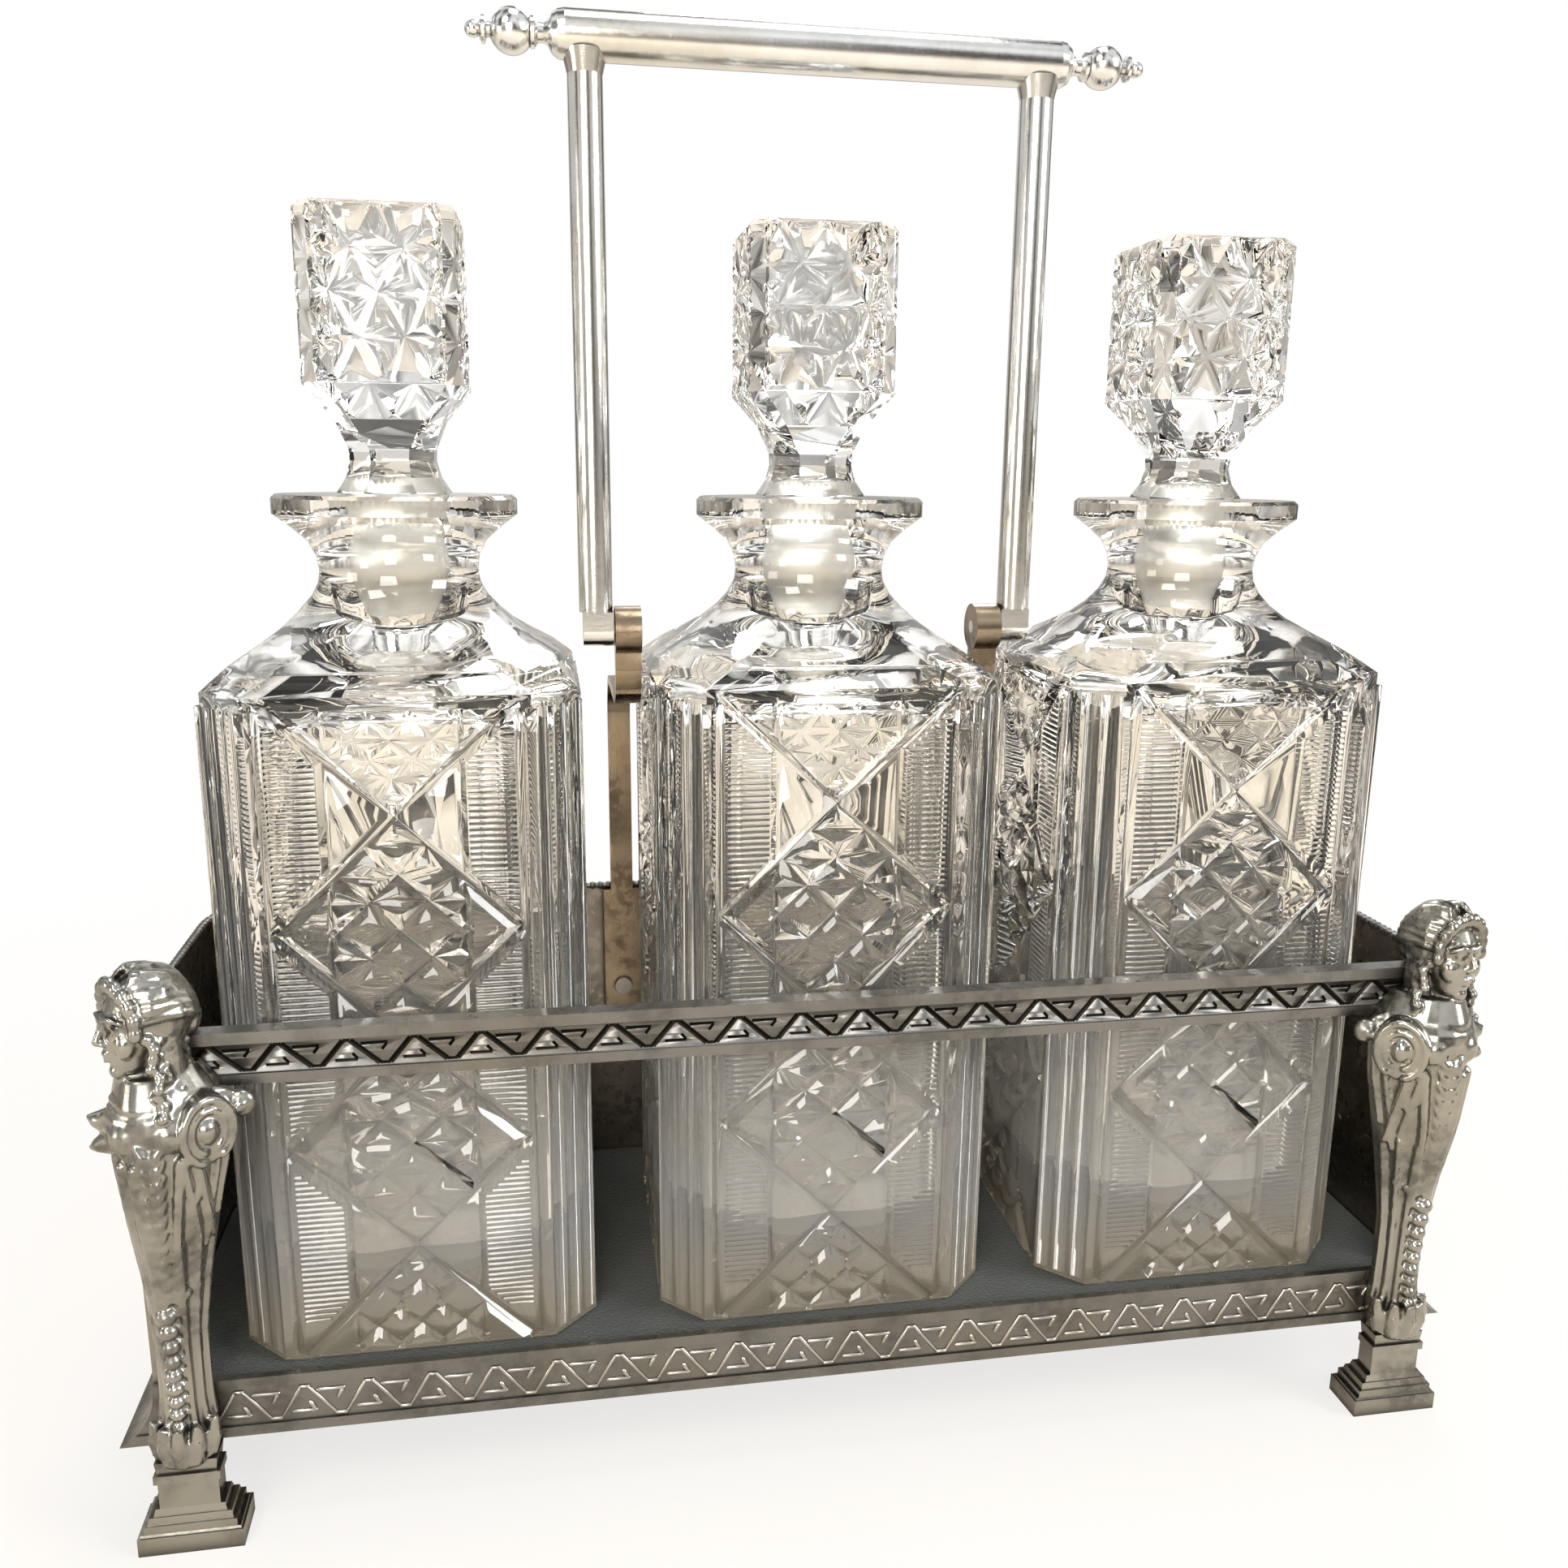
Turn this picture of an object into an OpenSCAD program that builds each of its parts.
// Three-bottle decanter stand with a folding carrying handle, cut glass decanters and ground stoppers.
// Millimetres, +Z up, front toward -Y. Origin: centre of the base on the ground.

/* [Tray] */
// Half of the tray's outside width
tray_half_x = 149.3; // [120:0.1:180]
// Front face of the two front strips
tray_front = -42.3; // [-60:0.1:-35]
// Outside face of the back panel
tray_back = 51.3; // [40:0.1:70]
// Outside radius of the rounded back corners
corner_r = 22; // [10:0.5:35]
// Thickness of the sheet metal panel
wall = 1.0; // [0.6:0.1:2]
// Thickness of the front strips and the floor plate
plate_t = 1.2; // [0.8:0.1:2.5]
// Underside of the floor plate
floor_z = 32; // [26:0.5:45]
// Thickness of the cloth lining
cloth_t = 1.3; // [0.5:0.1:3]
// Top edge of the sheet metal panel
panel_top = 114.6; // [90:0.1:140]
// Radius of the beaded wire on the panel's edge
rim_r = 1.1; // [0.8:0.05:2]
// Lower edge of the upper front strip
rail_low = 104.3; // [80:0.1:125]
// Upper edge of the upper front strip
rail_top = 115.7; // [90:0.1:140]
// Width of the strip's inward flange
flange_y = 3.7; // [2:0.1:4.5]
// Lower edge of the bottom strip and the flared skirt
skirt_low = 21.5; // [18:0.1:26]
// Upper edge of the bottom strip
apron_top = 35.6; // [34:0.1:45]
// How far the skirt flares outward
flare = 7.7; // [3:0.1:12]

/* [Legs] */
// Distance of each front leg's middle from the tray's side
leg_inset = 7.1; // [6:0.1:20]
// Middle of the plinth's depth
plinth_y = -44.9; // [-55:0.1:-40]
// Width of the plinth's slab
slab_x = 21.7; // [16:0.1:28]
// Depth of the plinth's slab
slab_y = 11; // [8:0.1:16]
// Height of the plinth's slab
slab_z = 4.8; // [3:0.1:8]
// Radius of the figure's head with its hair
head_r = 9.2; // [7:0.1:11]
// Height of the middle of the head
head_z = 124.3; // [118:0.1:130]
// Turn of the left head, outward
head_turn_left = -50; // [-80:1:40]
// Turn of the right head, outward
head_turn_right = 12; // [-40:1:80]
// Distance of each rear foot's middle from the tray's side
rear_inset = 17.3; // [12:0.1:30]
// Middle of the rear foot's depth
rear_y = 37; // [25:0.5:45]

/* [Decanters] */
// Distance between two neighbouring decanters
pitch = 93.2; // [86:0.1:100]
// Middle of the decanters, from the origin
bottle_y = 2; // [0:0.1:6]
// Half of a decanter's width
body_b = 39; // [34:0.1:42]
// Width of the flat taken off each upright corner
body_c = 9.5; // [5:0.1:14]
// Height of the shoulder's ledge
ledge_z = 180.5; // [150:0.5:200]
// Half of the width of the hollow inside
hollow_b = 32.5; // [28:0.1:35]
// Radius of the pouring lip
lip_r = 26.3; // [22:0.1:30]
// Top of the pouring lip
lip_z = 222.3; // [200:0.1:240]
// Radius of the ground socket at the lip
socket_top_r = 11.5; // [9:0.05:14]
// Radius of the ground socket at its lower end
socket_low_r = 9.95; // [8:0.05:12]
// Lower end of the ground socket
socket_low_z = 190; // [185:0.1:200]
// Clearance between the stopper's peg and the socket
peg_gap = 0.05; // [0.01:0.01:0.1]
// Lower end of the stopper's peg
peg_low_z = 193.5; // [188:0.1:205]
// Half of the width of the stopper's head
head_b = 16.5; // [12:0.1:20]
// Top of the stopper
stopper_top = 280.5; // [260:0.5:300]

/* [Handle] */
// Height of the hinge axis
hinge_z = 192; // [185:0.5:200]
// Height of the bar's middle
bar_z = 316.7; // [300:0.1:330]
// Radius of the bar
bar_r = 5; // [4:0.1:7]
// Half of the bar's length
bar_half = 57.3; // [52:0.1:65]
// Distance of each post from the middle
post_x = 49.9; // [48:0.1:52]
// Radius of the posts
post_r = 3.8; // [3:0.1:4.5]
// Radius of the hinge pin
pin_r = 1.5; // [1:0.1:2]
// Clearance of the hinge pin in the post's lug
pin_gap = 0.04; // [0.01:0.01:0.1]
// Inner side of the bracket's knuckle
knuckle_in = 39.7; // [39.3:0.1:41]
// Outer side of the bracket's knuckle
knuckle_out = 45.7; // [44:0.1:46]
// Radius of the bracket's knuckle
knuckle_r = 5.5; // [4.5:0.1:6.5]

/* [Hidden] */
$fn = 96;
rim_z = panel_top + 0.2;
leg_x = tray_half_x - leg_inset;
rear_x = tray_half_x - rear_inset;
strip_back = tray_front + plate_t;
felt_z = floor_z + plate_t;
bottle_z = felt_z + cloth_t;
leg_back = tray_front - 0.5;
bracket_x = (knuckle_in + knuckle_out) / 2;
panel_in = tray_back - wall;
screw_z = 86;
flare_top = 34;
flare_r = ((flare_top - skirt_low) * (flare_top - skirt_low) + flare * flare) / (2 * flare);
lug_in = knuckle_out + 0.3;
lug_out = post_x + 3;
sides = [-1, 1];
leg_screw_z = [28, 109.6];
metal = [0.55, 0.53, 0.48];
bright = [0.82, 0.83, 0.84];
glass = [0.85, 0.88, 0.86, 0.4];

// Tray outline seen from above, grown by o, with its front edge at f
module plan(o, f) {
  x = tray_half_x + o;
  y = tray_back + o;
  r = corner_r + o;
  translate([-x, f]) square([2 * x, y - r - f]);
  translate([r - x, f]) square([2 * x - 2 * r, y - f]);
  for (s = sides) translate([s * (x - r), y - r]) circle(r = r);
}

// Rod along X, centred on x, y, z
module rod_x(x, y, z, r, h) {
  translate([x - h / 2, y, z]) rotate([0, 90, 0]) cylinder(r = r, h = h);
}

// Rod along Y that starts at y and runs back
module rod_y(x, y, z, r, h) {
  translate([x, y, z]) rotate([-90, 0, 0]) cylinder(r = r, h = h);
}

// Block given by its low corner and its high corner
module block(a, b) {
  translate(a) cube(b - a);
}

// Holes of the leg screws in the strips and the legs
module leg_bores(y, h) {
  for (s = sides) for (z = leg_screw_z) rod_y(s * leg_x, y, z, 1.25, h);
}

// Upright holes of the rear foot screws
module foot_bores(z, h) {
  for (s = sides) translate([s * rear_x, rear_y, z]) cylinder(r = 1.25, h = h);
}

// Tray

module tray_floor() {
  color(metal) difference() {
    translate([0, 0, floor_z]) linear_extrude(plate_t) plan(0, strip_back);
    foot_bores(floor_z - 1, 4);
    for (s = sides) translate([s * rear_x, rear_y, felt_z - 0.8]) cylinder(r = 2.6, h = 2);
  }
}

module baize_lining() {
  color([0.06, 0.09, 0.08]) translate([0, 0, felt_z])
    linear_extrude(cloth_t) plan(-wall - 0.3, strip_back + 0.3);
}

module panel_sheet(low, high) {
  difference() {
    translate([0, 0, low]) linear_extrude(high - low) plan(0, strip_back);
    translate([0, 0, low - 1]) linear_extrude(high - low + 2) plan(-wall, strip_back - 1);
  }
}

module gallery_panel() {
  color(metal) difference() {
    panel_sheet(felt_z, panel_top);
    for (s = sides) rod_y(s * bracket_x, panel_in - 1, screw_z, 1.3, 3);
  }
}

// Wire of radius r that follows the panel's upper edge
module rim_wire(r) {
  x = tray_half_x - wall / 2;
  y = tray_back - wall / 2;
  bend = corner_r - wall / 2;
  start = tray_front + flange_y;
  for (s = sides) rod_y(s * x, start, rim_z, r, y - bend - start);
  rod_x(0, y, rim_z, r, 2 * (x - bend));
  for (s = sides) translate([s * (x - bend), y - bend, rim_z]) rotate([0, 0, 45 - 45 * s])
    rotate_extrude(angle = 90) translate([bend, 0]) circle(r = r);
}

module gallery_rim() {
  color(metal) difference() {
    rim_wire(rim_r);
    panel_sheet(panel_top - 5, panel_top);
  }
}

module front_rail_upper() {
  w = tray_half_x;
  color(metal) difference() {
    union() {
      block([-w, tray_front, rail_low], [w, strip_back, rail_top]);
      block([-w, tray_front, rail_top - 1], [w, tray_front + flange_y, rail_top]);
      block([-w, leg_back, rail_top - 2.6], [w, tray_front, rail_top]);
      block([-w, leg_back, rail_low], [w, tray_front, rail_low + 2.2]);
    }
    leg_bores(leg_back - 1, 4);
  }
}

// Outline of the bottom strip with its curved ends
module apron_outline() {
  w = tray_half_x + flare;
  difference() {
    translate([-w, skirt_low]) square([2 * w, apron_top - skirt_low]);
    for (s = sides) {
      translate([s * (tray_half_x + flare_r), flare_top]) circle(r = flare_r);
      translate([s * (tray_half_x + flare_r), apron_top + 9]) square(
        [2 * flare_r, 2 * (apron_top + 9 - flare_top)], center = true);
    }
  }
}

module front_apron() {
  color(metal) difference() {
    union() {
      translate([0, strip_back, 0]) rotate([90, 0, 0]) linear_extrude(plate_t) apron_outline();
      translate([0, tray_front, 0]) rotate([90, 0, 0]) linear_extrude(0.5) difference() {
        apron_outline();
        translate([-200, skirt_low + 2.4]) square([400, apron_top - skirt_low - 5]);
      }
    }
    leg_bores(leg_back - 1, 4);
  }
}

// Curved section of the flared skirt, x counted from the tray's side
module skirt_section() {
  intersection() {
    difference() {
      translate([flare_r, flare_top]) circle(r = flare_r + plate_t);
      translate([flare_r, flare_top]) circle(r = flare_r);
    }
    translate([-2, skirt_low]) square([flare + 2, floor_z - skirt_low]);
  }
}

module skirt_moulding() {
  x = tray_half_x - corner_r;
  y = tray_back - corner_r;
  color(metal) union() {
    for (m = [0, 1]) mirror([m, 0, 0]) {
      translate([0, y, 0]) rotate([90, 0, 0]) linear_extrude(y - strip_back)
        translate([tray_half_x, 0]) skirt_section();
      translate([x, y, 0]) rotate_extrude(angle = 90) translate([corner_r, 0]) skirt_section();
    }
    translate([-x, 0, 0]) rotate([90, 0, 90]) linear_extrude(2 * x)
      translate([tray_back, 0]) skirt_section();
  }
}

// Legs

// Stepped plinth, centred on x = 0, y = 0
module plinth(top) {
  translate([-slab_x / 2, -slab_y / 2, 0]) cube([slab_x, slab_y, slab_z]);
  translate([-9.4, -4.7, slab_z - 0.01]) cube([18.8, 9.4, 1.7]);
  intersection() {
    translate([0, 6, 0]) rotate([90, 0, 0]) linear_extrude(12)
      polygon([[-8.7, 6.4], [8.7, 6.4], [8.2, 7.4], [7, 8.4], [6.8, 9.8], [-6.8, 9.8], [-7, 8.4], [-8.2, 7.4]]);
    translate([-12, 0, 0]) rotate([90, 0, 90]) linear_extrude(24)
      polygon([[-4.5, 6.4], [4.5, 6.4], [4.2, 7.4], [3.7, 8.4], [3.6, 9.8], [-3.6, 9.8], [-3.7, 8.4], [-4.2, 7.4]]);
  }
  translate([-6.2, -3.4, 9.7]) cube([12.4, 6.8, top - 9.7]);
  translate([-7, -3.8, 16.6]) cube([14, 7.6, 1.6]);
}

// Half-round cross-section of the leg from -a to b, d deep toward the front
module slice(z, a, b, d) {
  translate([0, 0, z]) linear_extrude(0.02)
    polygon([for (t = [0:12:180]) [(b - a) / 2 + (a + b) / 2 * cos(t), -d * pow(sin(t), 0.75)]]);
}

// Shaft of the leg, b is the side toward the middle of the tray
module leg_shaft() {
  s = [[21, 5.4, 5.8, 7.2], [29, 5.6, 6.6, 8], [36, 4.4, 5.8, 7.4], [52, 4.4, 6.2, 8],
    [66, 5.2, 8.6, 10.4], [80, 6.2, 11.6, 14], [97, 8, 14.4, 16.2], [109, 6.5, 9.5, 12.5]];
  for (i = [0:6]) hull() {
    slice(s[i][0], s[i][1], s[i][2], s[i][3]);
    slice(s[i + 1][0], s[i + 1][1], s[i + 1][2], s[i + 1][3]);
  }
}

// Head, hair and bust of the figure, facing the front
module figure_head(turn) {
  translate([0, plinth_y - 4.9, 0]) rotate([0, 0, turn]) {
    translate([0, 0, head_z]) sphere(r = head_r);
    translate([0, -2.6, head_z - 6.2]) sphere(r = 6.2);
    translate([0, -4, head_z - 10]) sphere(r = 3.6);
    translate([0, -7.4, head_z - 8.8]) rotate([-18, 0, 0]) cylinder(r1 = 1.5, r2 = 0.7, h = 5);
    translate([0, 0.6, head_z - 18]) cylinder(r1 = 6.4, r2 = 4.4, h = 12);
    for (s = sides) translate([s * 5.6, 0.4, head_z - 9.5]) sphere(r = 3.4);
  }
}

module leg_front(turn) {
  difference() {
    union() {
      translate([0, plinth_y, 0]) plinth(21.3);
      difference() {
        union() {
          translate([0, leg_back + 0.01, 0]) leg_shaft();
          // Scroll on the shoulder toward the middle
          rod_y(10.6, -56.6, 97.5, 5.6, 14);
          rod_y(10.6, -57.4, 97.5, 3, 14);
          rod_y(14.4, -48.6, 101.5, 3.9, 6);
          // Pointed end of the drape on the outer side
          translate([-5, -49, 101]) rotate([0, -80, 0]) cylinder(r1 = 4.4, r2 = 0.9, h = 6.6);
          // Collar
          translate([0, -48, 108.4]) cylinder(r1 = 8.6, r2 = 6.2, h = 2.8);
        }
        block([-30, leg_back, -1], [30, leg_back + 20, 150]);
      }
      difference() {
        figure_head(turn);
        block([-30, leg_back, 90], [30, leg_back + 20, rail_top + 0.3]);
      }
    }
    for (z = leg_screw_z) rod_y(0, leg_back - 4, z, 1.25, 6);
  }
}

module leg_front_left() {
  color(metal) translate([-leg_x, 0, 0]) leg_front(head_turn_left);
}

module leg_front_right() {
  color(metal) translate([leg_x, 0, 0]) mirror([1, 0, 0]) leg_front(-head_turn_right);
}

module foot_rear() {
  difference() {
    plinth(floor_z);
    translate([0, 0, floor_z - 6]) cylinder(r = 1.25, h = 7);
  }
}

module foot_rear_left() {
  color(metal) translate([-rear_x, rear_y, 0]) foot_rear();
}

module foot_rear_right() {
  color(metal) translate([rear_x, rear_y, 0]) foot_rear();
}

module leg_screws() {
  color(metal) {
    for (s = sides) for (z = leg_screw_z) {
      rod_y(s * leg_x, leg_back - 3.8, z, 1.2, strip_back - leg_back + 4);
      rod_y(s * leg_x, strip_back, z, 2.2, 1.3);
    }
    for (s = sides) translate([s * rear_x, rear_y, 0]) {
      translate([0, 0, floor_z - 5.6]) cylinder(r = 1.2, h = plate_t + 5);
      translate([0, 0, felt_z - 0.8]) cylinder(r = 2.4, h = 0.8);
    }
  }
}

// Brackets and hinge

// Quarter of a curved strap, centre y, z, with its quarter toward u, v
module quarter(y, z, r, t, u, v) {
  translate([y, z]) intersection() {
    difference() {
      circle(r = r + t / 2);
      circle(r = r - t / 2);
    }
    translate([u < 0 ? -2 * r : 0, v < 0 ? -2 * r : 0]) square(2 * r);
  }
}

// Side view of the strap, x is the depth and y is the height
module strap_side() {
  t = 2.2;
  c = panel_in - t / 2;
  difference() {
    union() {
      translate([-1.9, hinge_z - 9]) square([3.8, 9]);
      quarter(8.4, hinge_z - 9, 8.4, t, -1, -1);
      translate([8.4, hinge_z - 17.4 - t / 2]) square([c - 12 - 8.4, t]);
      quarter(c - 12, hinge_z - 29.4, 12, t, 1, 1);
      translate([c - t / 2, panel_top - 2]) square([t, hinge_z - 29.4 - panel_top + 2]);
    }
    translate([-5, hinge_z - 40]) square([6.2, 26]);
  }
}

module bracket() {
  w = knuckle_out - knuckle_in;
  difference() {
    union() {
      rod_x(bracket_x, 0, hinge_z, knuckle_r, w);
      translate([knuckle_in, 0, 0]) rotate([90, 0, 90]) linear_extrude(w) strap_side();
      block([bracket_x - 5, panel_in - 2, 79], [bracket_x + 5, panel_in, panel_top - 0.5]);
      rod_y(bracket_x, panel_in - 2, 79, 5, 2);
    }
    rim_wire(rim_r + 0.05);
    rod_x(bracket_x, 0, hinge_z, pin_r + 0.02, w + 2);
    rod_y(bracket_x, panel_in - 5, screw_z, 1.3, 7);
  }
}

module bracket_left() {
  color(metal) mirror([1, 0, 0]) bracket();
}

module bracket_right() {
  color(metal) bracket();
}

module bracket_screws() {
  color(metal) for (s = sides) {
    rod_y(s * bracket_x, panel_in - 2, screw_z, 1.2, 5.6);
    rod_y(s * bracket_x, panel_in - 3.4, screw_z, 2.3, 1.4);
  }
}

module bracket_nuts() {
  color(metal) for (s = sides) difference() {
    translate([s * bracket_x, tray_back, screw_z]) rotate([-90, 0, 0]) cylinder(r = 2.7, h = 1.9, $fn = 6);
    rod_y(s * bracket_x, tray_back - 1, screw_z, 1.22, 5);
  }
}

module hinge_pin() {
  rod_x((knuckle_in + lug_out) / 2, 0, hinge_z, pin_r, lug_out - knuckle_in);
}

module hinge_pin_left() {
  color(bright) mirror([1, 0, 0]) hinge_pin();
}

module hinge_pin_right() {
  color(bright) hinge_pin();
}

// Handle

module handle_post() {
  difference() {
    union() {
      translate([post_x, 0, hinge_z + 4.3]) cylinder(r = post_r, h = bar_z - hinge_z - 4.3);
      translate([post_x, 0, bar_z - 7.6]) cylinder(r1 = post_r, r2 = bar_r - 0.1, h = 4.6);
      rod_x((lug_in + lug_out) / 2, 0, hinge_z, 3.6, lug_out - lug_in);
      block([lug_in, -3.6, hinge_z], [lug_out, 3.6, hinge_z + 4.4]);
    }
    rod_x(post_x, 0, bar_z, bar_r, 20);
    rod_x(post_x, 0, hinge_z, pin_r + pin_gap, 20);
  }
}

module handle_post_left() {
  color(bright) mirror([1, 0, 0]) handle_post();
}

module handle_post_right() {
  color(bright) handle_post();
}

module handle_bar() {
  color(bright) translate([0, 0, bar_z]) rotate([0, 90, 0]) rotate_extrude() polygon([
    [0, -bar_half], [2.6, -bar_half], [3.9, 0.7 - bar_half], [4.7, 1.9 - bar_half], [bar_r, 3.4 - bar_half],
    [bar_r, bar_half - 3.4], [4.7, bar_half - 1.9], [3.9, bar_half - 0.7], [2.6, bar_half], [0, bar_half]]);
}

// Turned finial along +X, starting at the end of the bar
module finial() {
  translate([bar_half, 0, bar_z]) rotate([0, 90, 0]) {
    rotate_extrude() polygon([[0, 0], [2.4, 0], [1.9, 1], [2, 2.2], [3.1, 2.9], [3.1, 3.6], [2.2, 4.2],
      [2.2, 10.6], [2.7, 11.2], [1.5, 11.9], [1.5, 12.6], [2.7, 13], [2.7, 13.6], [1.3, 14.2], [1.2, 15.2],
      [0, 15.2]]);
    translate([0, 0, 7.5]) sphere(r = 4.6);
    translate([0, 0, 15.4]) sphere(r = 1.7);
  }
}

module finial_left() {
  color(bright) mirror([1, 0, 0]) finial();
}

module finial_right() {
  color(bright) finial();
}

// Glass

// Square with its corners cut off
module cut_square(b, c) {
  polygon([[b, c - b], [b, b - c], [b - c, b], [c - b, b], [-b, b - c], [-b, c - b], [c - b, -b], [b - c, -b]]);
}

// Profile of [half width, height] points, drawn on both sides of the axis
module both_sides(p) {
  n = len(p);
  polygon(concat(p, [for (i = [n - 1:-1:0]) [-p[i][0], p[i][1]]]));
}

// Solid of square plan whose half width follows the profile, turned by a
module square_form(p, w, a) {
  intersection_for (k = [0, 90]) rotate([0, 0, a + k]) rotate([90, 0, 0])
    translate([0, 0, -w]) linear_extrude(2 * w) both_sides(p);
}

// Outside of a decanter, standing on z = bottle_z
module decanter_outside() {
  round_p = [[0, ledge_z - 1], [49.6, ledge_z - 1], [49.6, 182.3], [44.5, 185.2], [38.5, 188.3], [32, 191.2],
    [26, 194.2], [22, 197.2], [19.2, 200.2], [17.6, 203.2], [17.2, 206], [17.6, 209], [19.2, 212.3],
    [22.5, 215.3], [lip_r, 218.2], [lip_r, lip_z - 0.8], [lip_r - 0.9, lip_z], [0, lip_z]];
  flat_p = [[38.1, ledge_z - 1], [38.1, 183.2], [33.4, 187.7], [28.6, 191], [24.6, 194], [21.5, 197.2],
    [19.6, 200.2], [28, 203], [28, lip_z + 1]];
  translate([0, 0, bottle_z]) linear_extrude(0.8) cut_square(body_b - 0.8, body_c);
  translate([0, 0, bottle_z + 0.8]) linear_extrude(ledge_z - bottle_z - 0.8) cut_square(body_b, body_c);
  intersection() {
    rotate_extrude() polygon(round_p);
    square_form(flat_p, 60, 0);
    translate([0, 0, ledge_z - 0.5]) linear_extrude(60) cut_square(body_b - 0.9, body_c);
  }
}

// Hollow inside of a decanter with its ground socket
module decanter_hollow() {
  r = 13;
  b = hollow_b;
  inner_p = [[0, 47], [14, 47.6], [25, 50], [35, 55], [42, 62.5], [45.6, 74], [45.6, 166], [42, 173],
    [36, 178.4], [28, 183], [20, 186.2], [13.5, 188.6], [socket_low_r, socket_low_z],
    [socket_low_r, socket_low_z + 0.01], [0, socket_low_z + 0.01]];
  intersection() {
    translate([0, 0, 40]) linear_extrude(170) union() {
      square([2 * b, 2 * b - 2 * r], center = true);
      square([2 * b - 2 * r, 2 * b], center = true);
      for (x = sides) for (y = sides) translate([x * (b - r), y * (b - r)]) circle(r = r);
    }
    rotate_extrude() polygon(inner_p);
  }
  translate([0, 0, socket_low_z]) cylinder(r1 = socket_low_r, r2 = socket_top_r + 0.0478,
    h = lip_z + 1 - socket_low_z);
}

module decanter(x) {
  color(glass) translate([x, bottle_y, 0]) difference() {
    decanter_outside();
    decanter_hollow();
  }
}

module stopper(x) {
  g = (socket_top_r - socket_low_r) / (lip_z - socket_low_z);
  foot_z = lip_z + 0.3;
  low_r = socket_low_r + g * (peg_low_z - socket_low_z) - peg_gap;
  flat_p = [[11.9, foot_z], [9.8, 226], [8.9, 229.5], [9, 232], [11.2, 238], [head_b, 245],
    [head_b, stopper_top - 1.5], [head_b - 1.4, stopper_top]];
  corner_p = [[12.3, foot_z], [10, 226], [9.1, 229.5], [9.3, 232], [13.2, 238], [head_b + 4.4, 245],
    [head_b + 4.4, stopper_top - 1.5], [head_b + 2.8, stopper_top]];
  color(glass) translate([x, bottle_y, 0]) {
    intersection() {
      square_form(flat_p, 40, 0);
      square_form(corner_p, 40, 45);
    }
    translate([0, 0, peg_low_z]) cylinder(r1 = low_r, r2 = low_r + g * (foot_z + 1 - peg_low_z),
      h = foot_z + 1 - peg_low_z);
  }
}

module decanter_left() {
  decanter(-pitch);
}

module decanter_centre() {
  decanter(0);
}

module decanter_right() {
  decanter(pitch);
}

module stopper_left() {
  stopper(-pitch);
}

module stopper_centre() {
  stopper(0);
}

module stopper_right() {
  stopper(pitch);
}

tray_floor();
baize_lining();
gallery_panel();
gallery_rim();
front_rail_upper();
front_apron();
skirt_moulding();
leg_front_left();
leg_front_right();
foot_rear_left();
foot_rear_right();
leg_screws();
bracket_left();
bracket_right();
bracket_screws();
bracket_nuts();
hinge_pin_left();
hinge_pin_right();
handle_post_left();
handle_post_right();
handle_bar();
finial_left();
finial_right();
decanter_left();
decanter_centre();
decanter_right();
stopper_left();
stopper_centre();
stopper_right();
